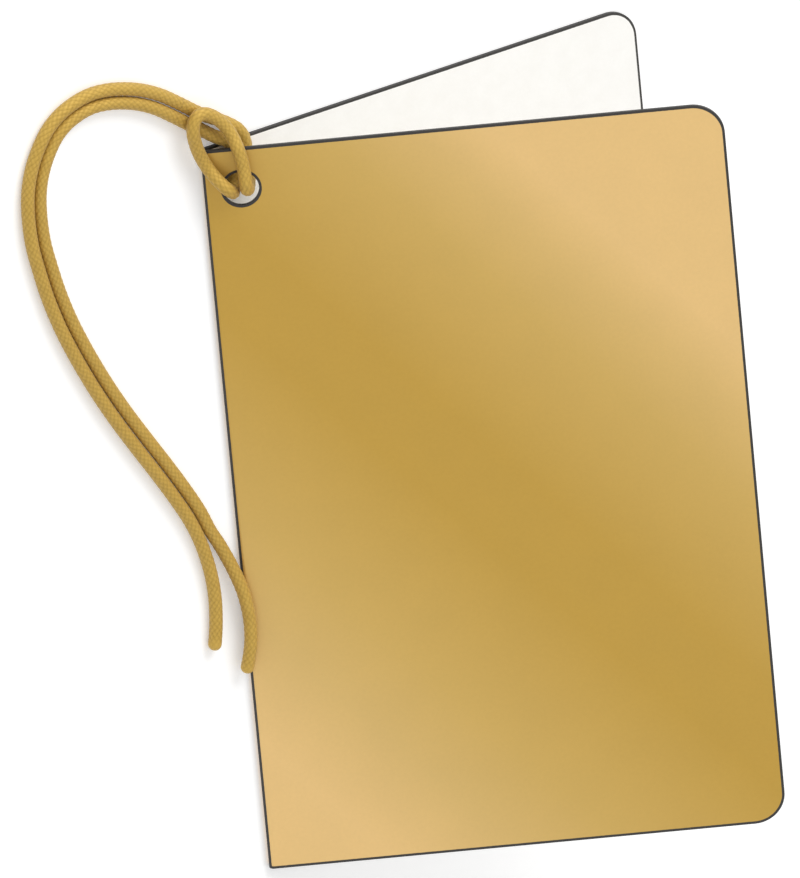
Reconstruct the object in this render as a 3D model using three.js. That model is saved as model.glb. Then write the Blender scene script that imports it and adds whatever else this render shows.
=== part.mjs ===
// Folded hang tag with a doubled cord, lying on its back leaf with the front cover standing open.
// Millimetres, +Z up, +Y towards the end with the cord hole, +X from the fold to the free edge.
// The origin is on the table, under the middle of the back leaf.

import * as THREE from "three";

// Card
const leafWidth = 60;
const leafHeight = 90;
const cornerRadius = 3.7;
const boardThickness = 0.4;
const facingThickness = 0.06;
const glueLine = 0.02;

// Fold
const openAngle = 31.6;
const foldInnerRadius = 0.15;
const creaseGap = 0.3;
const foldSteps = 14;

// Cord hole, in the front cover only
const holeDiameter = 4.1;
const holeFromSpine = 4.3;
const holeFromTop = 5;
const holeSteps = 40;
const cornerSteps = 10;

// Cord
const cordDiameter = 1.6;
const cordSides = 8;
const loopSteps = 28;
const leftTailSteps = 28;
const rightTailSteps = 22;
const rightEndSteps = 6;

// Sizes that follow from the ones above
const leafThickness = facingThickness + glueLine + boardThickness;
const foldOuterRadius = foldInnerRadius + leafThickness;
const leafReach = leafWidth - foldOuterRadius;
const creaseX = foldOuterRadius - leafWidth / 2;
const creaseZ = foldOuterRadius;
const topY = leafHeight / 2;
const holeReach = holeFromSpine - foldOuterRadius;

// Materials
const gold = new THREE.MeshStandardMaterial({ color: 0xc7a35a, roughness: 0.38, metalness: 0.55 });
const paper = new THREE.MeshStandardMaterial({ color: 0xf7f6f2, roughness: 0.85, metalness: 0 });
const cordGold = new THREE.MeshStandardMaterial({ color: 0xbc9a46, roughness: 0.6, metalness: 0.1 });

// One leaf seen flat: the crease on the left, two round corners on the free edge
function leafShape(hasHole) {
  const shape = new THREE.Shape();
  const bottom = -leafHeight;
  shape.moveTo(creaseGap, bottom);
  shape.lineTo(leafReach - cornerRadius, bottom);
  shape.absarc(leafReach - cornerRadius, bottom + cornerRadius, cornerRadius, -Math.PI / 2, 0, false);
  shape.lineTo(leafReach, -cornerRadius);
  shape.absarc(leafReach - cornerRadius, -cornerRadius, cornerRadius, 0, Math.PI / 2, false);
  shape.lineTo(creaseGap, 0);
  shape.closePath();
  if (hasHole) {
    const hole = new THREE.Path();
    for (let i = 0; i < holeSteps; i += 1) {
      const angle = (-2 * Math.PI * i) / holeSteps;
      const x = holeReach + (holeDiameter / 2) * Math.cos(angle);
      const y = -holeFromTop + (holeDiameter / 2) * Math.sin(angle);
      if (i === 0) {
        hole.moveTo(x, y);
      } else {
        hole.lineTo(x, y);
      }
    }
    hole.closePath();
    shape.holes.push(hole);
  }
  return shape;
}

// A sheet of the leaf's outline, thickness thick, its lower face at height from
function sheet(name, material, hasHole, thickness, from) {
  const settings = { depth: thickness, bevelEnabled: false, curveSegments: cornerSteps };
  const geometry = new THREE.ExtrudeGeometry(leafShape(hasHole), settings);
  geometry.translate(0, 0, from);
  const mesh = new THREE.Mesh(geometry, material);
  mesh.name = name;
  return mesh;
}

// The card's bend round the crease, from the back leaf's edge to the cover's edge
function foldStrip() {
  const shape = new THREE.Shape();
  const start = -Math.PI / 2;
  const end = THREE.MathUtils.degToRad(90 + openAngle) - 2 * Math.PI;
  const at = (radius, angle) => [radius * Math.cos(angle), radius * Math.sin(angle)];
  shape.moveTo(...at(foldOuterRadius, start));
  for (let i = 1; i <= foldSteps; i += 1) {
    shape.lineTo(...at(foldOuterRadius, start + ((end - start) * i) / foldSteps));
  }
  for (let i = foldSteps; i >= 0; i -= 1) {
    shape.lineTo(...at(foldInnerRadius, start + ((end - start) * i) / foldSteps));
  }
  shape.closePath();
  const geometry = new THREE.ExtrudeGeometry(shape, { depth: leafHeight, bevelEnabled: false });
  geometry.rotateX(Math.PI / 2);
  const mesh = new THREE.Mesh(geometry, gold);
  mesh.name = "fold_strip";
  return mesh;
}

// Routes of the cord's middle line, measured from the tag's corner at the spine's top end:
// X from the spine, Y up from the top edge, Z from the table.
// The loop comes up from between the leaves, through the hole, round over the corner and back.
const loopRoute = [
  [5.6, -0.9, 1.35], [5.62, -1.9, 1.35], [5.55, -3, 1.45], [5.32, -4.05, 1.8], [4.95, -4.8, 2.4],
  [4.4, -5.05, 3.1], [3.9, -5.03, 3.75], [3.39, -4.62, 4.28], [3.23, -3.88, 4.5], [3.26, -3.04, 4.4],
  [3.3, -2, 4.2], [3.19, -0.88, 4.08], [3.01, 0.26, 3.88], [2.84, 1.54, 3.3], [2.35, 2.88, 2.8],
  [1.44, 4.09, 2.6], [0.49, 4.88, 2.5], [-0.43, 5.25, 2.5], [-1.25, 5.05, 2.5], [-1.72, 4.39, 2.5],
  [-1.87, 3.39, 2.45], [-1.6, 2.07, 2.2], [-1.14, 0.67, 1.95], [-0.55, -0.75, 1.85], [-0.01, -1.98, 2.1],
  [0.39, -2.96, 2.8], [0.88, -3.82, 3.42], [1.38, -4.41, 3.62], [2.02, -4.94, 3.28], [2.5, -5.27, 2.8],
  [2.8, -5.25, 2.3], [3.12, -5.02, 1.85], [3.48, -4.4, 1.5], [3.72, -3.4, 1.35], [3.82, -2.2, 1.32],
  [3.84, -0.9, 1.32],
];

// The left tail is the outer strand of the arc
const leftTailRoute = [
  [5.58, -0.55, 1.35], [5.4, 0.45, 1.3], [4.82, 1.45, 1.14], [3.95, 2.22, 0.98], [2.95, 2.92, 0.86],
  [1.85, 3.6, 0.8], [0.7, 4.3, 0.8], [-0.6, 5.25, 0.8], [-2.3, 6.6, 0.8], [-4.8, 8.45, 0.8],
  [-7.4, 9.84, 0.8], [-9.9, 10.72, 0.8], [-12, 11.17, 0.8], [-14.1, 11.28, 0.8], [-16.2, 10.92, 0.8],
  [-18.3, 10.08, 0.8], [-20.1, 8.75, 0.8], [-21.6, 6.8, 0.8], [-22.75, 4.6, 0.8], [-23.5, 2.1, 0.8],
  [-23.8, -0.8, 0.8], [-23.67, -4.56, 0.8], [-23.08, -7.97, 0.8], [-22.23, -11.72, 0.8],
  [-21.14, -15.29, 0.8], [-19.86, -18.67, 0.8], [-18.29, -22.28, 0.8], [-16.53, -25.94, 0.8],
  [-14.53, -29.68, 0.8], [-12.33, -33.49, 0.8], [-10.06, -37.32, 0.8], [-7.92, -41.11, 0.8],
  [-6.4, -44.09, 0.8], [-5.29, -46.94, 0.8], [-4.56, -49.68, 0.8], [-4.15, -52.06, 0.8],
  [-3.98, -54.63, 0.8], [-4.11, -57.1, 0.8], [-4.36, -59.03, 0.8], [-4.76, -60.98, 0.8],
];

// The right tail is the inner strand of the arc
const rightTailRoute = [
  [3.84, -0.55, 1.32], [3.68, 0, 1.3], [3.24, 0.46, 1.2], [2.55, 0.88, 1.05], [1.65, 1.47, 0.9],
  [-0.21, 2.94, 0.8], [-1.59, 3.95, 0.8], [-3.3, 5.3, 0.8], [-5.68, 7.06, 0.8], [-8.06, 8.34, 0.8],
  [-10.35, 9.14, 0.8], [-12.22, 9.54, 0.8], [-14, 9.64, 0.8], [-15.75, 9.34, 0.8], [-17.5, 8.65, 0.8],
  [-18.95, 7.58, 0.8], [-20.22, 5.92, 0.8], [-21.23, 3.98, 0.8], [-21.89, 1.78, 0.8], [-22.16, -0.86, 0.8],
  [-22.04, -4.39, 0.8], [-21.47, -7.65, 0.8], [-20.64, -11.3, 0.8], [-19.59, -14.76, 0.8],
  [-18.34, -18.05, 0.8], [-16.8, -21.6, 0.8], [-15.07, -25.2, 0.8], [-13.1, -28.88, 0.8],
  [-10.91, -32.66, 0.8], [-8.64, -36.5, 0.8], [-6.48, -40.33, 0.8], [-4.9, -43.42, 0.8],
  [-3.8, -46.15, 0.8], [-3.05, -47.65, 0.85],
];

// Its end climbs onto the fold and moves with the cover
const rightEndRoute = [
  [-2.88, -47.98, 0.87], [-1.83, -50.46, 1], [-1.15, -52.48, 1.25], [-0.64, -54.44, 1.52],
  [-0.35, -56.35, 1.72], [-0.23, -58.24, 1.82], [-0.28, -60.1, 1.85], [-0.46, -61.57, 1.8],
  [-0.76, -63.17, 1.62], [-1.1, -64.78, 1.35],
];

// One stretch of cord: an eight-sided tube along its route
function cordStretch(name, route, steps) {
  const section = new THREE.Shape();
  for (let i = 0; i < cordSides; i += 1) {
    const angle = (2 * Math.PI * (i + 0.5)) / cordSides;
    const x = (cordDiameter / 2) * Math.cos(angle);
    const y = (cordDiameter / 2) * Math.sin(angle);
    if (i === 0) {
      section.moveTo(x, y);
    } else {
      section.lineTo(x, y);
    }
  }
  section.closePath();
  const points = route.map(([x, y, z]) => new THREE.Vector3(x - leafWidth / 2, y + topY, z));
  const path = new THREE.CatmullRomCurve3(points, false, "centripetal");
  const geometry = new THREE.ExtrudeGeometry(section, { steps, extrudePath: path, bevelEnabled: false });
  const mesh = new THREE.Mesh(geometry, cordGold);
  mesh.name = name;
  return mesh;
}

// The back leaf lies face up, its gold facing down on the table
const backLeaf = new THREE.Group();
backLeaf.position.set(creaseX, topY, 0);
backLeaf.add(sheet("back_facing", gold, false, facingThickness, 0));
backLeaf.add(sheet("back_board", paper, false, boardThickness, facingThickness + glueLine));

// The cover turns about the crease, its gold facing up
const cover = new THREE.Group();
cover.position.set(creaseX, topY, creaseZ);
cover.rotation.y = -THREE.MathUtils.degToRad(openAngle);
const facingHeight = foldInnerRadius + boardThickness + glueLine;
cover.add(sheet("cover_board", paper, true, boardThickness, foldInnerRadius));
cover.add(sheet("cover_facing", gold, true, facingThickness, facingHeight));

const fold = new THREE.Group();
fold.position.set(creaseX, topY, creaseZ);
fold.add(foldStrip());

const cord = new THREE.Group();
cord.add(cordStretch("cord_loop", loopRoute, loopSteps));
cord.add(cordStretch("cord_left_tail", leftTailRoute, leftTailSteps));
cord.add(cordStretch("cord_right_tail", rightTailRoute, rightTailSteps));
cord.add(cordStretch("cord_right_end", rightEndRoute, rightEndSteps));

const hangTag = new THREE.Group();
hangTag.add(backLeaf, cover, fold, cord);

export default hangTag;
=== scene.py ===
# %% [markdown]
# # A folded hang tag on a gold cord
# The tag is one card, gold outside and white inside, folded once along its left side. It lies on
# its back leaf with the front cover standing open. A doubled cord lies to its left. It goes in
# between the leaves and up through the hole in the cover, and its end rests over the corner as a
# ring.
#
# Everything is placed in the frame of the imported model, in metres. The sizes below are the ones
# that the solids were built from, so the finer pieces land exactly on them. The foil paper's
# thickness takes in the line of glue under it, which the solids leave open.

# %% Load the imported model
import math

import bpy
import numpy as np
from mathutils import Matrix, Vector


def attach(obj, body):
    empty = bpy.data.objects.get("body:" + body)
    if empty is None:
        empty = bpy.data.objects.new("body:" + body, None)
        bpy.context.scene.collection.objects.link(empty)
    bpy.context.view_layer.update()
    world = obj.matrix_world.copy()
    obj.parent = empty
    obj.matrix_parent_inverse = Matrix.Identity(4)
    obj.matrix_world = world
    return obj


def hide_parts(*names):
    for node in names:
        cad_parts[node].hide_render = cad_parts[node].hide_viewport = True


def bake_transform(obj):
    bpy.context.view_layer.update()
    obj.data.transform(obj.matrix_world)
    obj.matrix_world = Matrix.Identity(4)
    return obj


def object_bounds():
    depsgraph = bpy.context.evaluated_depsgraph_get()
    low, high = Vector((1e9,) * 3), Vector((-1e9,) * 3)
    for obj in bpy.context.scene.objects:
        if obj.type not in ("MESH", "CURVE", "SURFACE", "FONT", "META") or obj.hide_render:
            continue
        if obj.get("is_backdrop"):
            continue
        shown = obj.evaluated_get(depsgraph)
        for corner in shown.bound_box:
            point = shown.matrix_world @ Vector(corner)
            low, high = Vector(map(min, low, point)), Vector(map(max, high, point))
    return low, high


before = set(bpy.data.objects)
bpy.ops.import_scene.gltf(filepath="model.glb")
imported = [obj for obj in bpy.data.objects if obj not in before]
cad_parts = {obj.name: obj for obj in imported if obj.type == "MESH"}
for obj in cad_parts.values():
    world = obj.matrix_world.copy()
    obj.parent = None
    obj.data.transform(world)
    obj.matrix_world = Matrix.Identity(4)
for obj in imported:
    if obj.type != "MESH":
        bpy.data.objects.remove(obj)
cad_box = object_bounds()

# %% Sizes of the card and the cord, in metres
MM = 0.001
LEAF_WIDTH = 60 * MM
LEAF_HEIGHT = 90 * MM
CORNER_RADIUS = 3.7 * MM
BOARD = 0.4 * MM
FACING = 0.08 * MM
FOLD_INNER = 0.15 * MM
OPEN_ANGLE = math.radians(31.6)
HOLE_DIAMETER = 4.1 * MM
HOLE_FROM_SPINE = 4.3 * MM
HOLE_FROM_TOP = 5 * MM
CORD_RADIUS = 0.8 * MM

FOLD_OUTER = FOLD_INNER + BOARD + FACING
REACH = LEAF_WIDTH - FOLD_OUTER
CREASE = Vector((FOLD_OUTER - LEAF_WIDTH / 2, 0, FOLD_OUTER))
TOP = LEAF_HEIGHT / 2
HOLE_REACH = HOLE_FROM_SPINE - FOLD_OUTER
print("the leaf reaches", round(REACH / MM, 2), "mm from the crease")

# %% [markdown]
# ## The camera
# The tag is seen from above, from the left and from beyond its top edge, so that the cover faces
# the view to within 23 degrees. Its opposite edges look parallel, so the lens is a very long one,
# about 4 m away, which gives hardly any perspective. An orthographic camera would do as well for
# this view alone, but a long lens can also step back to take in the whole tag from another side.

# %% Put up the camera
FRAME_HEIGHT = 100.87 * MM
AIM = Vector((-11.97, 5.94, 8.68)) * MM
RIGHT = Vector((0.8303, -0.0869, 0.5505)).normalized()
ROUGHLY_UP = Vector((0.2832, 0.9165, -0.2825))
BACK = RIGHT.cross(ROUGHLY_UP).normalized()
UP = BACK.cross(RIGHT)

lens = bpy.data.cameras.new("long_lens")
lens.lens = 1400
lens.sensor_width = 36
lens.clip_start = 0.01
lens.clip_end = 100
camera = bpy.data.objects.new("camera", lens)
bpy.context.scene.collection.objects.link(camera)
turn = Matrix((RIGHT, UP, BACK)).transposed().to_4x4()
distance = FRAME_HEIGHT * lens.lens / lens.sensor_width
camera.matrix_world = Matrix.Translation(AIM + BACK * distance) @ turn
bpy.context.scene.camera = camera
print("the camera is", round(distance, 2), "m away")

# %% [markdown]
# ## The cord's route
# The cord is a limp braid 1.6 mm thick. Its middle line is given as points, measured from the
# tag's corner at the top of the spine: X from the spine, Y up from the top edge, Z from the table,
# in millimetres. A centripetal Catmull-Rom curve runs through them without a cusp.
# The whole cord is one line, from the tip of the left tail, through the ring, to the tip of the
# right tail, so that its plait runs on unbroken where the pieces meet.

# %% Points of the left tail, from its tip to the tag
LEFT_TAIL = [
    (-4.76, -60.98, 0.8), (-4.36, -59.03, 0.8), (-4.11, -57.1, 0.8), (-3.98, -54.63, 0.8),
    (-4.15, -52.06, 0.8), (-4.56, -49.68, 0.8), (-5.29, -46.94, 0.8), (-6.4, -44.09, 0.8),
    (-7.92, -41.11, 0.8), (-10.06, -37.32, 0.8), (-12.33, -33.49, 0.8), (-14.53, -29.68, 0.8),
    (-16.53, -25.94, 0.8), (-18.29, -22.28, 0.8), (-19.86, -18.67, 0.8), (-21.14, -15.29, 0.8),
    (-22.23, -11.72, 0.8), (-23.08, -7.97, 0.8), (-23.67, -4.56, 0.8), (-23.8, -0.8, 0.8),
    (-23.5, 2.1, 0.8), (-22.75, 4.6, 0.8), (-21.6, 6.8, 0.8), (-20.1, 8.75, 0.8),
    (-18.3, 10.08, 0.8), (-16.2, 10.92, 0.8), (-14.1, 11.28, 0.8), (-12, 11.17, 0.8),
    (-9.9, 10.72, 0.8), (-7.4, 9.84, 0.8), (-4.8, 8.45, 0.8), (-2.3, 6.6, 0.8), (-0.6, 5.25, 0.8),
    (0.7, 4.3, 0.8), (1.85, 3.6, 0.8), (2.95, 2.92, 0.86), (3.95, 2.22, 0.98), (4.82, 1.45, 1.14),
    (5.4, 0.45, 1.3), (5.58, -0.55, 1.35),
]
print("left tail:", len(LEFT_TAIL), "points")

# %% Points of the loop, up through the hole, round over the corner and back down
LOOP = [
    (5.6, -0.9, 1.35), (5.62, -1.9, 1.35), (5.55, -3, 1.45), (5.32, -4.05, 1.8), (4.95, -4.8, 2.4),
    (4.4, -5.05, 3.1), (3.9, -5.03, 3.75), (3.39, -4.62, 4.28), (3.23, -3.88, 4.5),
    (3.26, -3.04, 4.4), (3.3, -2, 4.2), (3.19, -0.88, 4.08), (3.01, 0.26, 3.88), (2.84, 1.54, 3.3),
    (2.35, 2.88, 2.8), (1.44, 4.09, 2.6), (0.49, 4.88, 2.5), (-0.43, 5.25, 2.5),
    (-1.25, 5.05, 2.5), (-1.72, 4.39, 2.5), (-1.87, 3.39, 2.45), (-1.6, 2.07, 2.2),
    (-1.14, 0.67, 1.95), (-0.55, -0.75, 1.85), (-0.01, -1.98, 2.1), (0.39, -2.96, 2.8),
    (0.88, -3.82, 3.42), (1.38, -4.41, 3.62), (2.02, -4.94, 3.28), (2.5, -5.27, 2.8),
    (2.8, -5.25, 2.3), (3.12, -5.02, 1.85), (3.48, -4.4, 1.5), (3.72, -3.4, 1.35),
    (3.82, -2.2, 1.32), (3.84, -0.9, 1.32),
]
print("loop:", len(LOOP), "points")

# %% Points of the right tail, from the tag to its tip against the spine
RIGHT_TAIL = [
    (3.84, -0.55, 1.32), (3.68, 0, 1.3), (3.24, 0.46, 1.2), (2.55, 0.88, 1.05), (1.65, 1.47, 0.9),
    (-0.21, 2.94, 0.8), (-1.59, 3.95, 0.8), (-3.3, 5.3, 0.8), (-5.68, 7.06, 0.8),
    (-8.06, 8.34, 0.8), (-10.35, 9.14, 0.8), (-12.22, 9.54, 0.8), (-14, 9.64, 0.8),
    (-15.75, 9.34, 0.8), (-17.5, 8.65, 0.8), (-18.95, 7.58, 0.8), (-20.22, 5.92, 0.8),
    (-21.23, 3.98, 0.8), (-21.89, 1.78, 0.8), (-22.16, -0.86, 0.8), (-22.04, -4.39, 0.8),
    (-21.47, -7.65, 0.8), (-20.64, -11.3, 0.8), (-19.59, -14.76, 0.8), (-18.34, -18.05, 0.8),
    (-16.8, -21.6, 0.8), (-15.07, -25.2, 0.8), (-13.1, -28.88, 0.8), (-10.91, -32.66, 0.8),
    (-8.64, -36.5, 0.8), (-6.48, -40.33, 0.8), (-4.9, -43.42, 0.8), (-3.8, -46.15, 0.8),
    (-3.05, -47.65, 0.85), (-2.88, -47.98, 0.87), (-1.83, -50.46, 1), (-1.15, -52.48, 1.25),
    (-0.64, -54.44, 1.52), (-0.35, -56.35, 1.72), (-0.23, -58.24, 1.82), (-0.28, -60.1, 1.85),
    (-0.46, -61.57, 1.8), (-0.76, -63.17, 1.62), (-1.1, -64.78, 1.35),
]
print("right tail:", len(RIGHT_TAIL), "points")

# %% Draw one smooth line through all of them
CORNER = np.array([-LEAF_WIDTH / 2, TOP, 0])
CENTRIPETAL = 0.5
RING_STEP = 0.12 * MM


def gaps(line):
    """The distance from each point of a line to the next one."""
    return np.linalg.norm(np.diff(line, axis=0), axis=1)


def smooth_line(points, each=24):
    """Points close together along the centripetal Catmull-Rom curve through these."""
    before = 2 * points[0] - points[1]
    after = 2 * points[-1] - points[-2]
    whole = np.vstack([before, points, after])
    knots = np.concatenate([[0], np.cumsum(gaps(whole) ** CENTRIPETAL)])
    found = []
    for i in range(1, len(whole) - 2):
        t0, t1, t2, t3 = knots[i - 1 : i + 3]
        p0, p1, p2, p3 = whole[i - 1 : i + 3]
        for t in np.linspace(t1, t2, each, endpoint=False):
            a = ((t1 - t) * p0 + (t - t0) * p1) / (t1 - t0)
            b = ((t2 - t) * p1 + (t - t1) * p2) / (t2 - t1)
            c = ((t3 - t) * p2 + (t - t2) * p3) / (t3 - t2)
            low = ((t2 - t) * a + (t - t0) * b) / (t2 - t0)
            high = ((t3 - t) * b + (t - t1) * c) / (t3 - t1)
            found.append(((t2 - t) * low + (t - t1) * high) / (t2 - t1))
    found.append(whole[-2])
    return np.array(found)


def evenly(line, step):
    """The same line with its points a fixed step apart, and how far along each one is."""
    along = np.concatenate([[0], np.cumsum(gaps(line))])
    marks = np.linspace(0, along[-1], int(round(along[-1] / step)) + 1)
    return np.column_stack([np.interp(marks, along, line[:, k]) for k in range(3)]), marks


hand_points = np.array(LEFT_TAIL + LOOP + RIGHT_TAIL) * MM + CORNER
cord_line, cord_along = evenly(smooth_line(hand_points), RING_STEP)
print("the whole cord is", round(cord_along[-1] / MM, 1), "mm long, with", len(cord_line), "rings")

# %% [markdown]
# ## Cutting the line into pieces
# A hinge turns the cover, and the cord is limp, so the loop has to bend between the two leaves
# while the tails stay on the table. The line is therefore cut where the strands have come out from
# under the ring, into the left tail, the loop and the right tail. The right tail's tip rests
# against the spine.

# %% Find the two cuts
def ring_near(point):
    """The ring of the cord that is nearest to one of the listed points."""
    where = np.array(point) * MM + CORNER
    return int(np.argmin(np.linalg.norm(cord_line - where, axis=1)))


left_cut = ring_near(LEFT_TAIL[-9])
right_cut = ring_near(RIGHT_TAIL[7])
stretches = {
    "cord_left_tail": (0, left_cut),
    "cord_loop": (left_cut, right_cut),
    "cord_right_tail": (right_cut, len(cord_line) - 1),
}
print("the first and last ring of each piece:", stretches)

# %% [markdown]
# ## Turning the line into a tube
# Each ring of the tube needs an across direction that doesn't spin from one ring to the next.
# Carrying the last ring's direction on, and taking out what points along the line, does that.
# A free end is rounded, as a tip that was sealed with heat is: its rings shrink as the slices of a
# ball do and close in one point. Where two pieces meet, both are closed flat.
# The mesh also keeps how far round and along each point is, which the plait needs.

# %% Across directions for every ring
SIDES = 40


def across_directions(line):
    """Two unit directions across the line at every ring, carried along without spin."""
    ahead = np.gradient(line, axis=0)
    ahead /= np.linalg.norm(ahead, axis=1)[:, None]
    side = np.zeros_like(line)
    start = np.cross(ahead[0], (0, 0, 1))
    side[0] = start / np.linalg.norm(start)
    for i in range(1, len(line)):
        carried = side[i - 1] - ahead[i] * (side[i - 1] @ ahead[i])
        side[i] = carried / np.linalg.norm(carried)
    return side, np.cross(ahead, side)


cord_side, cord_over = across_directions(cord_line)
print("rings of", SIDES, "points")


# %% Faces and UVs of a tube
SEAM_SPAN = 0.6
SEAM_LOW = 0.4


def tube_faces(rings, near, far):
    """Four-sided faces from ring to ring, and a fan of triangles over each end."""
    faces = []
    for r in range(rings - 1):
        for s in range(SIDES):
            t = (s + 1) % SIDES
            faces.append((r * SIDES + s, r * SIDES + t, (r + 1) * SIDES + t, (r + 1) * SIDES + s))
    end = (rings - 1) * SIDES
    for s in range(SIDES):
        t = (s + 1) % SIDES
        faces.append((near, t, s))
        faces.append((far, end + s, end + t))
    return faces


def lay_uv(mesh, along, around):
    """Unrolls the tube: U once round it and V along it, in the same unit."""
    corners = np.zeros(len(mesh.loops), int)
    mesh.loops.foreach_get("vertex_index", corners)
    u = around[corners].copy()
    for face in mesh.polygons:
        span = slice(face.loop_start, face.loop_start + face.loop_total)
        if u[span].max() - u[span].min() > SEAM_SPAN:
            u[span] = np.where(u[span] < SEAM_LOW, u[span] + 1, u[span])
    v = along[corners] / (2 * np.pi * CORD_RADIUS)
    layer = mesh.uv_layers.new(name="unrolled")
    layer.data.foreach_set("uv", np.column_stack([u, v]).ravel())


print("a face that spans more than", SEAM_SPAN, "of a turn lies across the UV seam")


# %% One tube between two rings of the line
SEALED_RADII = 0.6
FADE_RADII = 1.2


def tube(name, first, last):
    """A closed tube along part of the cord, which keeps where on the cord each point is."""
    rings = np.arange(first, last + 1)
    from_tips = np.minimum(cord_along, cord_along[-1] - cord_along)
    depth = np.clip(1 - from_tips / CORD_RADIUS, 0, 1)
    radii = CORD_RADIUS * np.sqrt(1 - depth**2)
    used = rings[radii[rings] > 0]
    turns = np.arange(SIDES) / SIDES
    angles = 2 * np.pi * turns
    offsets = (
        np.cos(angles)[None, :, None] * cord_side[used][:, None, :]
        + np.sin(angles)[None, :, None] * cord_over[used][:, None, :]
    )
    skin = cord_line[used][:, None, :] + radii[used][:, None, None] * offsets
    points = np.vstack([skin.reshape(-1, 3), cord_line[first], cord_line[last]])
    mesh = bpy.data.meshes.new(name)
    faces = tube_faces(len(used), near=len(points) - 2, far=len(points) - 1)
    mesh.from_pydata(points.tolist(), [], faces)
    along = np.concatenate([np.repeat(cord_along[used], SIDES), cord_along[[first, last]]])
    around = np.concatenate([np.tile(turns, len(used)), [0.5, 0.5]])
    radii_in = np.minimum(along, cord_along[-1] - along) / CORD_RADIUS
    free = np.clip((radii_in - SEALED_RADII) / FADE_RADII, 0, 1)
    for title, values in (("along", along), ("around", around), ("free", free)):
        mesh.attributes.new(title, "FLOAT", "POINT").data.foreach_set("value", values)
    lay_uv(mesh, along, around)
    mesh.polygons.foreach_set("use_smooth", [True] * len(mesh.polygons))
    return mesh


cord_meshes = {name: tube(name, *rings) for name, rings in stretches.items()}
print({name: len(mesh.polygons) for name, mesh in cord_meshes.items()})

# %% [markdown]
# ## Arithmetic on sockets
# Both the finishes and the Geometry Nodes trees are made of small sums. Written as Python
# expressions they stay readable: a wire is one output socket, and adding two wires adds the Math
# node that does it. Every other node comes from one method.

# %% A wire that takes Python arithmetic
class Wire:
    """One output socket of a node tree."""

    def __init__(self, tree, socket=None):
        self.tree = tree
        self.socket = socket

    def node(self, kind, settings=None, sockets=None, out=0):
        """Adds a node: its settings first, then the value or the wires of each socket named."""
        made = self.tree.nodes.new(kind)
        for name, value in (settings or {}).items():
            if name == "stops":
                set_stops(made.color_ramp, value)
            else:
                setattr(made, name, value)
        for name, value in (sockets or {}).items():
            for one in value if isinstance(value, list) else [value]:
                if isinstance(one, Wire):
                    self.tree.links.new(one.socket, made.inputs[name])
                else:
                    made.inputs[name].default_value = one
        return Wire(self.tree, made.outputs[out])

    def beside(self, out):
        """Another output of the same node."""
        return Wire(self.tree, self.socket.node.outputs[out])

    def maths(self, operation, first, second=0.0, clamp=False):
        settings = {"operation": operation, "use_clamp": clamp}
        return self.node("ShaderNodeMath", settings, {0: first, 1: second})

    def __add__(self, other):
        return self.maths("ADD", self, other)

    def __sub__(self, other):
        return self.maths("SUBTRACT", self, other)

    def __rsub__(self, other):
        return self.maths("SUBTRACT", other, self)

    def __mul__(self, other):
        return self.maths("MULTIPLY", self, other)

    def __pow__(self, other):
        return self.maths("POWER", self, other)

    __radd__ = __add__
    __rmul__ = __mul__

    def __abs__(self):
        return self.maths("ABSOLUTE", self)


def end_with(wire, kind):
    """The last node of a tree, which takes this wire in its first socket."""
    made = wire.tree.nodes.new(kind)
    wire.tree.links.new(wire.socket, made.inputs[0])


def set_stops(ramp, stops):
    """Gives a colour ramp these stops: a place and a colour each."""
    while len(ramp.elements) < len(stops):
        ramp.elements.new(1.0)
    for element, (place, colour) in zip(ramp.elements, stops):
        element.position = place
        element.color = (*colour, 1)


# %% Small sums that the finishes share
def larger(a, b):
    return a.maths("MAXIMUM", a, b)


def smaller(a, b):
    return a.maths("MINIMUM", a, b)


def held(a):
    """The value kept between 0 and 1."""
    return a.maths("ADD", a, 0.0, clamp=True)


def part_of(a):
    """What is left of a value after its whole number."""
    return a.maths("FRACT", a)


def distance_from(a, b):
    """The length of the line that goes a one way and b square to it."""
    return (a * a + b * b) ** 0.5


def ramp_colour(factor, first, second):
    """A colour between two others. Mix keeps it a colour, which a Math node would not."""
    sockets = {0: factor, 6: first, 7: second}
    return factor.node("ShaderNodeMix", {"data_type": "RGBA"}, sockets, out=2)


def linear(red, green, blue):
    """A screen colour out of 255 as the linear numbers that a node wants, by the sRGB curve."""
    shares = [c / 255 for c in (red, green, blue)]
    return tuple(c / 12.92 if c <= 0.04 else ((c + 0.055) / 1.055) ** 2.4 for c in shares)


print("half grey on the screen is", round(linear(128, 128, 128)[0], 3), "in a node")


# %% An empty material, its shader and its two commonest nodes
def new_material(name):
    """A material, its shader node, and a bare wire from which its nodes are made."""
    made = bpy.data.materials.new(name)
    made.use_nodes = True
    shader = made.node_tree.nodes["Principled BSDF"]
    return made, shader, Wire(made.node_tree)


def feed(shader, sockets):
    """Gives the shader's sockets their wires or fixed values."""
    for name, value in sockets.items():
        if isinstance(value, Wire):
            value.tree.links.new(value.socket, shader.inputs[name])
        else:
            shader.inputs[name].default_value = value


def noise(place, scale, detail):
    """Soft noise. Its spots are about a metre divided by the scale across."""
    sockets = {"Vector": place, "Scale": scale, "Detail": detail}
    return place.node("ShaderNodeTexNoise", sockets=sockets)


def bump(height, strength, depth):
    """The shading of a relief that is too fine for geometry."""
    sockets = {"Height": height, "Strength": strength, "Distance": depth}
    return height.node("ShaderNodeBump", sockets=sockets)


# %% [markdown]
# ## Where a point lies on its leaf
# The foil's sheen, the inked edge and the paper's grain all follow the leaf, not the room. A leaf
# is flat, so the Object coordinates, turned back by the leaf's opening angle, give its own U from
# the crease and V up the spine. The outline's distance is then the usual sum for a rounded
# rectangle, of which only the two corners on the free edge are round.

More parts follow.
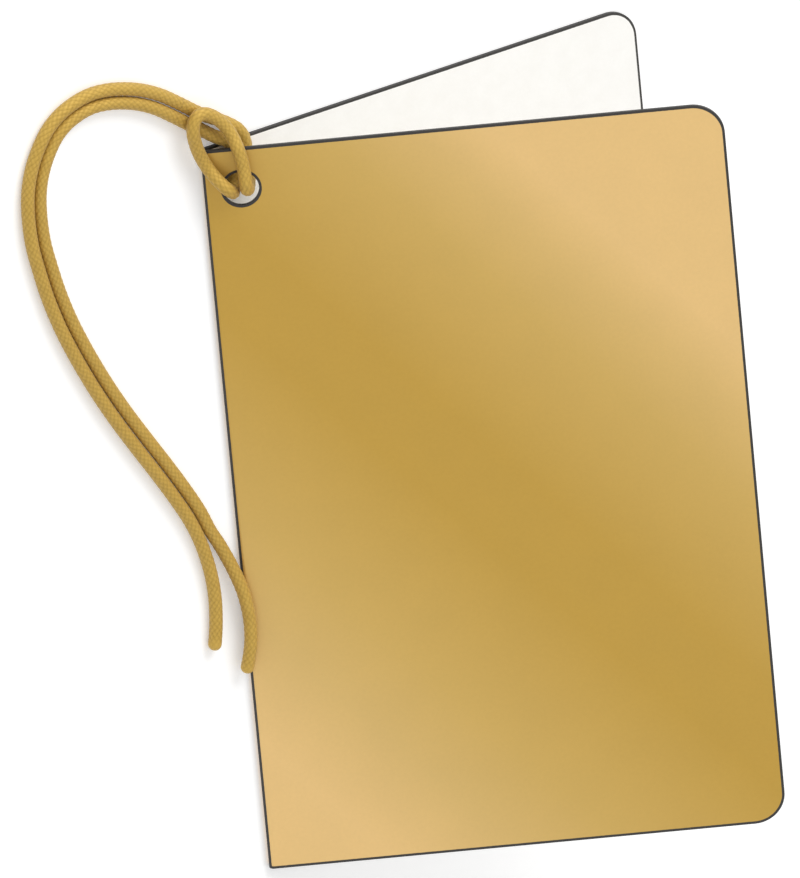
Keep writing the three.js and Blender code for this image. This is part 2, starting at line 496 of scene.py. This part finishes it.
# %% Leaf coordinates and the inked edge, in millimetres
TO_MM = 1000
INK_WIDTH = 0.31
INK_BLEED = 0.05
INK_SHARPNESS = 40


def leaf_place(bare, angle):
    """U from the crease and V from the middle of the spine, on a leaf that is so far open."""
    place = bare.node("ShaderNodeTexCoord", out="Object")
    x = bare.node("ShaderNodeSeparateXYZ", sockets={0: place})
    out = (x - CREASE.x) * math.cos(angle) + (x.beside(2) - CREASE.z) * math.sin(angle)
    return out * TO_MM, x.beside(1) * TO_MM


def edge_depth(u, v):
    """How far inside the leaf's outline a point is."""
    radius = CORNER_RADIUS / MM
    past_u = u - (REACH / MM - radius)
    past_v = abs(v) - (LEAF_HEIGHT / 2 / MM - radius)
    round_corner = distance_from(larger(past_u, 0.0), larger(past_v, 0.0))
    return radius - (round_corner + smaller(larger(past_u, past_v), 0.0))


def hole_depth(u, v):
    """How far outside the hole's rim a point is."""
    down = v - (TOP - HOLE_FROM_TOP) / MM
    return distance_from(u - HOLE_REACH / MM, down) - HOLE_DIAMETER / 2 / MM


def inked(depth, place):
    """1 on the inked rim and 0 on the clean face, with the slight bleed of ink into paper."""
    bleed = noise(place, 2600.0, 2.0)
    return held((INK_WIDTH + (bleed - 0.5) * INK_BLEED - depth) * INK_SHARPNESS + 0.5)


def inked_leaf(bare, angle, punched):
    """The Object coordinates, U, V and ink of a leaf that is so far open."""
    place = bare.node("ShaderNodeTexCoord", out="Object")
    u, v = leaf_place(bare, angle)
    depth = edge_depth(u, v)
    if punched:
        depth = smaller(depth, hole_depth(u, v))
    return place, u, v, inked(depth, place)


print("the inked edge is", INK_WIDTH, "mm wide on each face")

# %% [markdown]
# ## Gold foil paper
# The outside is a thin metallised paper, satin. Its soft diagonal sheen is painted sheen: pale at
# two opposite corners and deeper gold across the middle, painted into the base colour where a real
# foil would get it from a broad light on a slightly curved surface. A ramp along the diagonal
# paints it. A fine fibre grain shows through the foil as a faint bump, and broader clouds change
# its tone and gloss a little.

# %% Gold foil with its diagonal sheen painted into its colour
# The golds of the painted sheen: pale where its painted light is brightest, deep across the
# middle.
PALE_GOLD = linear(233, 195, 129)
MIDDLE_GOLD = linear(208, 172, 93)
DEEP_GOLD = linear(195, 156, 66)
LOWER_GOLD = linear(216, 181, 110)
UPPER_GOLD = linear(219, 183, 112)
INK = linear(48, 46, 44)
SHEEN_SLOPE = 0.889
SHEEN_RATE = 0.01
SHEEN_START = 0.66
DARKER = (0.93, 0.93, 0.93, 1)
LIGHTER = (1.06, 1.06, 1.06, 1)


def painted_sheen(u, v):
    """The foil's painted sheen along its diagonal, from the lower left corner to the upper right.
    """
    diagonal = u + (v - TOP / MM) * SHEEN_SLOPE
    stops = [
        (0.0, PALE_GOLD), (0.14, LOWER_GOLD), (0.26, MIDDLE_GOLD), (0.48, DEEP_GOLD),
        (0.6, DEEP_GOLD), (0.8, MIDDLE_GOLD), (0.9, UPPER_GOLD), (0.98, PALE_GOLD),
    ]
    return u.node("ShaderNodeValToRGB", {"stops": stops}, {0: diagonal * SHEEN_RATE + SHEEN_START})


def foil(name, angle, punched):
    """Satin gold foil on a leaf that is so far open, with its painted sheen, inked along its
    edges.
    """
    made, shader, bare = new_material(name)
    place, u, v, ink = inked_leaf(bare, angle, punched)
    finish_foil(shader, place, painted_sheen(u, v), ink)
    return made


def finish_foil(shader, place, sheen, ink):
    """The grain, gloss and ink of the foil, whatever gives its colour."""
    fibre = noise(place, 2400.0, 3.0)
    cloud = noise(place, 160.0, 2.0)
    shade = ramp_colour(held(fibre * 0.5 + cloud * 0.5), DARKER, LIGHTER)
    mixing = {"data_type": "RGBA", "blend_type": "MULTIPLY"}
    gold = place.node("ShaderNodeMix", mixing, {0: 1.0, 6: sheen, 7: shade}, out=2)
    feed(shader, {
        "Base Color": ramp_colour(ink, gold, (*INK, 1)),
        "Metallic": (1 - ink) * 0.45,
        "Roughness": held(0.36 + cloud * 0.12 + ink * 0.2),
        "Normal": bump(fibre, 0.12, 0.03 * MM),
    })


cover_foil = foil("cover_gold_foil", OPEN_ANGLE, True)
back_foil = foil("back_gold_foil", 0.0, False)
print("foil finishes:", cover_foil.name, back_foil.name)

# %% [markdown]
# ## White card
# The inside is uncoated white board. Up close it is a felt of short fibres: slightly uneven in
# tone, rough, and a little furry to the light. Two noises at different sizes give the tone and one
# of them the bump. Its cut edges carry the same ink as the foil's.

# %% White board with inked edges
GREYER_WHITE = linear(244, 242, 237)
CLEAR_WHITE = linear(255, 254, 251)


def white_board(name, angle, punched):
    """Uncoated white board on a leaf that is so far open."""
    made, shader, bare = new_material(name)
    place, _, _, ink = inked_leaf(bare, angle, punched)
    finish_board(shader, place, ink)
    return made


def finish_board(shader, place, ink):
    """The fibres, tone and ink of the board."""
    fibre = noise(place, 3200.0, 4.0)
    cloud = noise(place, 420.0, 3.0)
    shade = held(fibre * 0.4 + cloud * 0.6)
    white = ramp_colour(shade, (*GREYER_WHITE, 1), (*CLEAR_WHITE, 1))
    feed(shader, {
        "Base Color": ramp_colour(ink, white, (*INK, 1)),
        "Roughness": held(0.78 + cloud * 0.12 - ink * 0.2),
        "Sheen Weight": 0.08,
        "Normal": bump(fibre, 0.2, 0.04 * MM),
    })


cover_board_finish = white_board("cover_white_board", OPEN_ANGLE, True)
back_board_finish = white_board("back_white_board", 0.0, False)
print("board finishes:", cover_board_finish.name, back_board_finish.name)

# %% [markdown]
# ## The fold's finishes
# At the fold the same card bends round a small radius. There a leaf's U has no meaning, so the
# foil reads how far round the bend a point is, kept on the mesh as an attribute. An inked line
# runs along the outermost part of the spine. Three numbers place it: how long the bend is round
# its outside, where on the bend the line lies, and half the line's width. The board inside is
# inked at its two ends only.

# %% Foil and board at the fold
BEND_ARC = 1.63
SPINE_SHARE = 0.585
SPINE_INK = 0.34


def fold_finish(name, is_foil):
    """The fold's own foil or board, inked at its two ends and, if it is foil, along the spine."""
    made, shader, bare = new_material(name)
    place = bare.node("ShaderNodeTexCoord", out="Object")
    y = bare.node("ShaderNodeSeparateXYZ", sockets={0: place}).beside(1) * TO_MM
    ends = LEAF_HEIGHT / 2 / MM - abs(y)
    if not is_foil:
        finish_board(shader, place, inked(ends, place))
        return made
    bend = bare.node("ShaderNodeAttribute", {"attribute_name": "bend"}, out="Fac")
    spine = abs(bend - SPINE_SHARE) * BEND_ARC + (INK_WIDTH - SPINE_INK)
    ink = inked(smaller(ends, spine), place)
    # The fold's foil takes the same painted sheen, read along the spine only.
    finish_foil(shader, place, painted_sheen(y * 0.0, y), ink)
    return made


fold_foil_finish = fold_finish("fold_gold_foil", True)
fold_board_finish = fold_finish("fold_white_board", False)
print("fold finishes:", fold_foil_finish.name, fold_board_finish.name)

# %% [markdown]
# ## Gold cord
# The cord is plaited from flat bundles of lacquered gold yarn. The plait's relief is real
# geometry, made further on. The finish adds what is finer than that: the yarns in each bundle, and
# painted shade that darkens the furrows between the bundles, which are also duller. It reads the
# tube's own UVs, so that the yarns follow every bend, and the height of the plait, which a later
# tree leaves on the mesh.

# %% Plaited gold yarn
STRANDS = 8
YARNS = 5
STEEPNESS = 0.72
# The darker gold is painted shade, given to the furrows between the bundles.
FURROW_SHADE_GOLD = linear(160, 125, 41)
YARN_GOLD = linear(212, 174, 77)


def cord_finish():
    """Gold yarn that follows the tube's UVs, with painted shade in the plait's furrows."""
    made, shader, bare = new_material("gold_cord_yarn")
    unrolled = bare.node("ShaderNodeUVMap", {"uv_map": "unrolled"})
    u = bare.node("ShaderNodeSeparateXYZ", sockets={0: unrolled})
    v = u.beside(1)
    height = bare.node("ShaderNodeAttribute", {"attribute_name": "plait"}, out="Fac")
    leaning = bare.node("ShaderNodeAttribute", {"attribute_name": "leaning"}, out="Fac")
    yarn = leaning * (u + v * STEEPNESS) + (1 - leaning) * (u - v * STEEPNESS)
    thread = abs(part_of(yarn * STRANDS * YARNS) - 0.5) * 2
    cloud = noise(bare.node("ShaderNodeTexCoord", out="Object"), 900.0, 2.0)
    # Painted shade: where the plait is low, in the furrows, the colour runs to the darker gold;
    # the yarn lines and the clouds add tone that differs along them.
    light = held(height * 0.62 + thread * 0.16 + cloud * 0.3)
    feed(shader, {
        "Base Color": ramp_colour(light, (*FURROW_SHADE_GOLD, 1), (*YARN_GOLD, 1)),
        "Metallic": 0.25,
        "Roughness": held(0.62 - height * 0.14),
        "Sheen Weight": 0.15,
        "Normal": bump(thread, 0.35, 0.04 * MM),
    })
    return made


cord_yarn = cord_finish()
print("the cord's plait has", STRANDS, "bundles each way")

# %% [markdown]
# ## The leaves
# Each leaf is a die-cut rectangle with two round corners, made of two layers: the white board and
# the foil paper glued to it. The rule is the same for all four layers, so one Geometry Nodes tree
# makes them, from sizes with names. It fillets two corners of a rectangle, adds the punched hole's
# circle, fills the outline, extrudes the layer's thickness, and turns it about the crease. It also
# marks the cut edges, which a Bevel then rounds by 0.01 mm on the foil and 0.05 mm on the board: a
# real cut edge is never a perfect corner, and the small round catches the light.

# %% Helpers that start, end and run a tree
def new_tree(name, titles):
    """A Geometry Nodes tree with these named inputs, and a wire for each."""
    tree = bpy.data.node_groups.new(name, "GeometryNodeTree")
    inputs = {"Geometry": "NodeSocketGeometry", **titles, "Finish": "NodeSocketMaterial"}
    for title, kind in inputs.items():
        tree.interface.new_socket(title, in_out="INPUT", socket_type=kind)
    tree.interface.new_socket("Geometry", in_out="OUTPUT", socket_type="NodeSocketGeometry")
    given = tree.nodes.new("NodeGroupInput")
    return {s.name: Wire(tree, s) for s in given.outputs if s.name}


def close_tree(geometry, finish):
    """The end of every tree: real mesh, with its finish, out of the group."""
    whole = geometry.node("GeometryNodeRealizeInstances", sockets={"Geometry": geometry})
    done = whole.node("GeometryNodeSetMaterial", sockets={"Geometry": whole, "Material": finish})
    end_with(done, "NodeGroupOutput")


def run_tree(tree, name, values, start=None, edge=0.0):
    """Runs a tree on a new object and keeps the result as its plain mesh, at the origin."""
    made = bpy.data.objects.new(name, start or bpy.data.meshes.new(name))
    bpy.context.scene.collection.objects.link(made)
    modifier = made.modifiers.new("shape", "NODES")
    modifier.node_group = tree
    for socket in tree.interface.items_tree:
        if socket.in_out == "INPUT" and socket.name in values:
            modifier[socket.identifier] = values[socket.name]
    if edge:
        bevel = made.modifiers.new("edge", "BEVEL")
        bevel.limit_method = "WEIGHT"
        bevel.width = edge
        bevel.segments = 2
    graph = bpy.context.evaluated_depsgraph_get()
    mesh = bpy.data.meshes.new_from_object(made.evaluated_get(graph))
    made.modifiers.clear()
    made.data = mesh
    mesh.name = name
    print(name, "has", len(mesh.polygons), "faces")
    return made


# %% The tree that makes one layer of a leaf
SIZE = "NodeSocketFloat"
leaf = new_tree("leaf_layer", {
    "Reach": SIZE, "Height": SIZE, "Corner radius": SIZE, "Hole diameter": SIZE,
    "Hole reach": SIZE, "Hole drop": SIZE, "Lower face": SIZE, "Thickness": SIZE,
    "Crease": "NodeSocketVector", "Turn": "NodeSocketVector", "Punched": "NodeSocketBool",
})


def vector(x, y, z):
    """A vector from three numbers or wires, of which at least one is a wire."""
    first = next(a for a in (x, y, z) if isinstance(a, Wire))
    return first.node("ShaderNodeCombineXYZ", sockets={0: x, 1: y, 2: z})


def moved(geometry, by):
    """The geometry shifted by a vector."""
    sockets = {"Geometry": geometry, "Translation": by}
    return geometry.node("GeometryNodeTransform", sockets=sockets)


def point_x(geometry):
    """X of each of a geometry's points."""
    position = geometry.node("GeometryNodeInputPosition")
    return geometry.node("ShaderNodeSeparateXYZ", sockets={0: position})


# %% The layer's outline and its thickness
CORNER_STEPS = 14
HOLE_STEPS = 72
SAME_POINT = 0.001 * MM
OFF_CREASE = 0.01 * MM
CUT_BEND = 1.0


def layer_outline():
    """The flat outline, as curves: a rectangle with two round corners, and the hole if punched."""
    reach, height = leaf["Reach"], leaf["Height"]
    sockets = {"Width": reach, "Height": height}
    sides = reach.node("GeometryNodeCurvePrimitiveQuadrilateral", sockets=sockets)
    across = point_x(sides)
    radius = across.maths("GREATER_THAN", across, 0.0) * leaf["Corner radius"]
    rounded = sides.node(
        "GeometryNodeFilletCurve",
        {"mode": "POLY"},
        {"Curve": sides, "Count": CORNER_STEPS, "Radius": radius},
    )
    rounded = moved(rounded, vector(reach * 0.5, 0.0, 0.0))
    circle = sides.node(
        "GeometryNodeCurvePrimitiveCircle",
        sockets={"Resolution": HOLE_STEPS, "Radius": leaf["Hole diameter"] * 0.5},
    )
    drop = height * 0.5 - leaf["Hole drop"]
    circle = moved(circle, vector(leaf["Hole reach"], drop, 0.0))
    punch = sides.node(
        "GeometryNodeSwitch",
        {"input_type": "GEOMETRY"},
        {"Switch": leaf["Punched"], "True": circle},
    )
    return sides.node("GeometryNodeJoinGeometry", sockets={"Geometry": [rounded, punch]})


def layer_solid(outline):
    """The filled outline with its thickness, closed, and its cut edges marked for the bevel."""
    face = outline.node("GeometryNodeFillCurve", {"mode": "NGONS"}, {"Curve": outline})
    walls = face.node(
        "GeometryNodeExtrudeMesh",
        {"mode": "FACES"},
        {"Mesh": face, "Offset Scale": leaf["Thickness"], "Individual": False},
    )
    base = face.node("GeometryNodeFlipFaces", sockets={"Mesh": face})
    both = face.node("GeometryNodeJoinGeometry", sockets={"Geometry": [walls, base]})
    sockets = {"Geometry": both, "Distance": SAME_POINT}
    shut = both.node("GeometryNodeMergeByDistance", sockets=sockets)
    across = point_x(shut)
    bend = shut.node("GeometryNodeInputMeshEdgeAngle")
    off_crease = across.maths("GREATER_THAN", across, OFF_CREASE)
    cut = bend.maths("GREATER_THAN", bend, CUT_BEND) * off_crease
    return shut.node(
        "GeometryNodeStoreNamedAttribute",
        {"data_type": "FLOAT", "domain": "EDGE"},
        {"Geometry": shut, "Name": "bevel_weight_edge", "Value": cut},
    )


solid = layer_solid(layer_outline())
solid = moved(solid, vector(0.0, 0.0, leaf["Lower face"]))
turned = solid.node(
    "GeometryNodeTransform",
    sockets={"Geometry": solid, "Translation": leaf["Crease"], "Rotation": leaf["Turn"]},
)
close_tree(turned, leaf["Finish"])
print("leaf_layer has", len(leaf["Reach"].tree.nodes), "nodes")

# %% Make the four layers
FOIL_EDGE = 0.01 * MM
BOARD_EDGE = 0.05 * MM


def leaf_piece(node, finish, lower, thickness, angle, body, edge):
    """One layer of a leaf, from its lower face to its upper one, riding with its leaf."""
    values = {
        "Reach": REACH, "Height": LEAF_HEIGHT, "Corner radius": CORNER_RADIUS,
        "Hole diameter": HOLE_DIAMETER, "Hole reach": HOLE_REACH, "Hole drop": HOLE_FROM_TOP,
        "Lower face": lower, "Thickness": thickness, "Crease": tuple(CREASE),
        "Turn": (0.0, -angle, 0.0), "Punched": angle > 0, "Finish": finish,
    }
    made = run_tree(leaf["Reach"].tree, "card_" + node, values, edge=edge)
    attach(made, body)
    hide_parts(node)


leaf_piece("back_facing", back_foil, -FOLD_OUTER, FACING, 0.0, "back_leaf",
           FOIL_EDGE)
leaf_piece("back_board", back_board_finish, FACING - FOLD_OUTER, BOARD, 0.0, "back_leaf",
           BOARD_EDGE)
leaf_piece("cover_board", cover_board_finish, FOLD_INNER, BOARD, OPEN_ANGLE, "front_cover",
           BOARD_EDGE)
leaf_piece("cover_facing", cover_foil, FOLD_INNER + BOARD, FACING, OPEN_ANGLE, "front_cover",
           FOIL_EDGE)

# %% [markdown]
# ## The fold
# A scored card bends round a small radius: the foil outside stretches and the board inside is
# pressed together. Both layers are arcs about the crease, from the back leaf's edge to the
# cover's. They are drawn in mesh code, step by step, and each point keeps how far round the bend
# it is.

# %% Draw the two layers of the bend
BEND_START = math.radians(270)
BEND_END = math.radians(90) + OPEN_ANGLE
SHARP_ANGLE = math.radians(40)


def bend_layer(name, inner, outer, finish, steps=36):
    """A closed strip round the crease, from the back leaf to the cover."""
    points, rounds = [], []
    for y in (-TOP, TOP):
        for i in range(steps + 1):
            share = i / steps
            angle = BEND_START + (BEND_END - BEND_START) * share
            for radius in (inner, outer):
                x = CREASE.x + radius * math.cos(angle)
                z = CREASE.z + radius * math.sin(angle)
                points.append((x, y, z))
                rounds.append(share)
    faces = []
    back = 2 * (steps + 1)
    for i in range(steps):
        a, b = 2 * i, 2 * i + 2
        faces.append((a + 1, b + 1, b + 1 + back, a + 1 + back))
        faces.append((a, a + back, b + back, b))
        faces.append((a, b, b + 1, a + 1))
        faces.append((a + back, a + 1 + back, b + 1 + back, b + back))
    last = 2 * steps
    faces.append((0, 1, 1 + back, back))
    faces.append((last, last + back, last + 1 + back, last + 1))
    mesh = bpy.data.meshes.new(name)
    mesh.from_pydata(points, [], faces)
    mesh.attributes.new("bend", "FLOAT", "POINT").data.foreach_set("value", rounds)
    mesh.polygons.foreach_set("use_smooth", [True] * len(faces))
    mesh.set_sharp_from_angle(angle=SHARP_ANGLE)
    mesh.materials.append(finish)
    made = bpy.data.objects.new(name, mesh)
    bpy.context.scene.collection.objects.link(made)
    return made


fold_foil = bend_layer("fold_foil", FOLD_INNER + BOARD, FOLD_OUTER, fold_foil_finish)
fold_board = bend_layer("fold_board", FOLD_INNER, FOLD_INNER + BOARD, fold_board_finish)


for strip, slot in ((fold_foil, "gold_facing"), (fold_board, "white_board")):
    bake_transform(strip)
    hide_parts("fold_strip")
print("the fold bends through", round(math.degrees(BEND_START - BEND_END), 1), "degrees")

# %% [markdown]
# ## The plait
# A plaited cord is two sets of bundles that wind round it in opposite ways and pass over and under
# each other in turn. On the unrolled tube that is a chequerboard of diamonds, in which each field
# is a bundle's back, high in the middle and low at its sides. A second tree pushes the tube's
# points in by that rule, and leaves the height and the lean of each bundle on the mesh for the
# finish. A sealed tip has no plait left, so the relief fades out there.

# %% The tree that plaits the tube
plait = new_tree("plait", {"Strands": SIZE, "Steepness": SIZE, "Radius": SIZE, "Depth": SIZE})
FLATNESS = 0.7
CROSSING_SHARE = 0.35


def kept(name):
    """A number that the tube's mesh keeps at each point."""
    settings = {"data_type": "FLOAT"}
    return plait["Strands"].node("GeometryNodeInputNamedAttribute", settings, {"Name": name})


def bulge(a):
    """High in the middle of a bundle and low at its sides."""
    return a.maths("SINE", part_of(a) * math.pi)


turns_along = kept("along").maths("DIVIDE", kept("along"), plait["Radius"] * 2 * math.pi)
rising = (kept("around") + turns_along * plait["Steepness"]) * plait["Strands"]
falling = (kept("around") - turns_along * plait["Steepness"]) * plait["Strands"]
fields = rising.maths("FLOOR", rising) + falling.maths("FLOOR", falling)
over = fields.maths("FLOORED_MODULO", fields, 2.0)
own = over * bulge(rising) + (1 - over) * bulge(falling)
crossing = over * bulge(falling) + (1 - over) * bulge(rising)
height = own ** FLATNESS * (crossing * CROSSING_SHARE + (1 - CROSSING_SHARE))
height = 1 - (1 - height) * kept("free")
print("towards the ends of a diamond the relief falls by up to", CROSSING_SHARE, "of its height")

# %% Push the points in and keep what the finish reads
def keep_on(geometry, name, value):
    """Leaves a number on each point of the mesh."""
    settings = {"data_type": "FLOAT", "domain": "POINT"}
    return geometry.node(
        "GeometryNodeStoreNamedAttribute",
        settings,
        {"Geometry": geometry, "Name": name, "Value": value},
    )


relief = keep_on(keep_on(plait["Geometry"], "plait", height), "leaning", over)
inwards = relief.node("GeometryNodeInputNormal")
push = inwards.node(
    "ShaderNodeVectorMath",
    {"operation": "SCALE"},
    {0: inwards, "Scale": (height - 1) * plait["Depth"]},
)
relief = relief.node("GeometryNodeSetPosition", sockets={"Geometry": relief, "Offset": push})
close_tree(relief, plait["Finish"])
print("plait has", len(relief.tree.nodes), "nodes")

# %% Plait the three pieces of the cord
values = {
    "Strands": float(STRANDS), "Steepness": STEEPNESS, "Radius": CORD_RADIUS,
    "Depth": 0.07 * MM, "Finish": cord_yarn,
}
cords = {}
for name, mesh in cord_meshes.items():
    cords[name] = run_tree(relief.tree, "tag_" + name, values, mesh)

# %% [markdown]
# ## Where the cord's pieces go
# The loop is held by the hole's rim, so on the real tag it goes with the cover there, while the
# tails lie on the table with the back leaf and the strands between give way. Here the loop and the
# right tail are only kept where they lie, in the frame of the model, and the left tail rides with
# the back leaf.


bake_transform(cords["cord_loop"])
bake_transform(cords["cord_right_tail"])
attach(cords["cord_left_tail"], "back_leaf")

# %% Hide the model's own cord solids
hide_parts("cord_left_tail")
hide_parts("cord_loop")
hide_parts("cord_right_tail", "cord_right_end")

# %% [markdown]
# ## Floor and light
# The tag lies on a plain white floor in an even studio light: a broad world light from all round,
# and one large soft lamp above and beyond the tag's top edge, a little to the right, which reaches
# in under the cover where the photograph shows bright white paper. The floor is a little brighter
# to the camera than to the object, so that it reads as white and still takes a soft shadow.

# %% A white floor that keeps the shadow
FLOOR_GLOW = 0.25
FLOOR_HALF = 15
FLOOR_DROP = 0.03 * MM


def seen_directly(bare):
    """1 for what the camera, a mirror or a glass sees, and 0 for light that falls on things."""
    ray = bare.node("ShaderNodeLightPath", out="Is Camera Ray")
    return held(ray + ray.beside("Is Glossy Ray") + ray.beside("Is Transmission Ray"))


white_floor = bpy.data.materials.new("white_floor")
white_floor.use_nodes = True
white_floor.node_tree.nodes.clear()
bare = Wire(white_floor.node_tree)
matt = bare.node("ShaderNodeBsdfDiffuse", sockets={"Color": (0.9, 0.9, 0.9, 1)})
glow = bare.node("ShaderNodeEmission", sockets={"Color": (1, 1, 1, 1), "Strength": FLOOR_GLOW})
lit = bare.node("ShaderNodeAddShader", sockets={0: matt, 1: glow})
shown = bare.node("ShaderNodeMixShader", sockets={0: seen_directly(bare), 1: matt, 2: lit})
end_with(shown, "ShaderNodeOutputMaterial")

sheet = bpy.data.meshes.new("floor")
corners = [(-1, -1), (1, -1), (1, 1), (-1, 1)]
points = [(FLOOR_HALF * x, FLOOR_HALF * y, -FLOOR_DROP) for x, y in corners]
sheet.from_pydata(points, [], [(0, 1, 2, 3)])
sheet.materials.append(white_floor)
floor = bpy.data.objects.new("floor", sheet)
bpy.context.scene.collection.objects.link(floor)
floor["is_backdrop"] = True
print("the floor is", 2 * FLOOR_HALF, "m square,", round(FLOOR_DROP / MM, 2), "mm under the tag")

# %% The world's light
WORLD_LIGHT = 0.74
world = bpy.data.worlds.new("studio")
world.use_nodes = True
bpy.context.scene.world = world
world.node_tree.nodes.clear()
bare = Wire(world.node_tree)
light = bare.node("ShaderNodeBackground", sockets={"Color": (1, 1, 1, 1), "Strength": WORLD_LIGHT})
white = bare.node("ShaderNodeBackground", sockets={"Color": (1, 1, 1, 1), "Strength": 1.0})
mixed = bare.node("ShaderNodeMixShader", sockets={0: seen_directly(bare), 1: light, 2: white})
end_with(mixed, "ShaderNodeOutputWorld")
print("the world lights the tag with a strength of", WORLD_LIGHT)

# %% One large soft lamp
def lamp(name, place, aim, size, power):
    """A square area lamp at a place, turned to a point."""
    data = bpy.data.lights.new(name, "AREA")
    data.size = size
    data.energy = power
    made = bpy.data.objects.new(name, data)
    made.location = place
    made.rotation_euler = (Vector(aim) - Vector(place)).to_track_quat("-Z", "Y").to_euler()
    bpy.context.scene.collection.objects.link(made)
    return made


key = lamp("soft_lamp", place=(0.35, 1.1, 0.75), aim=(0, 0, 0.01), size=0.8, power=10.0)
bpy.context.scene.view_settings.view_transform = "Standard"
print("lamps:", key.name)

# %% [markdown]
# ## Last checks
# The finer pieces should leave the tag as large as its solids are, so both boxes are compared and
# how far the far corner has grown is printed.

# %% Compare the boxes and finish
seen_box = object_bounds()
grown = [round((seen_box[1][i] - cad_box[1][i]) / MM, 2) for i in range(3)]
print("grown by", grown, "mm at the far corner")
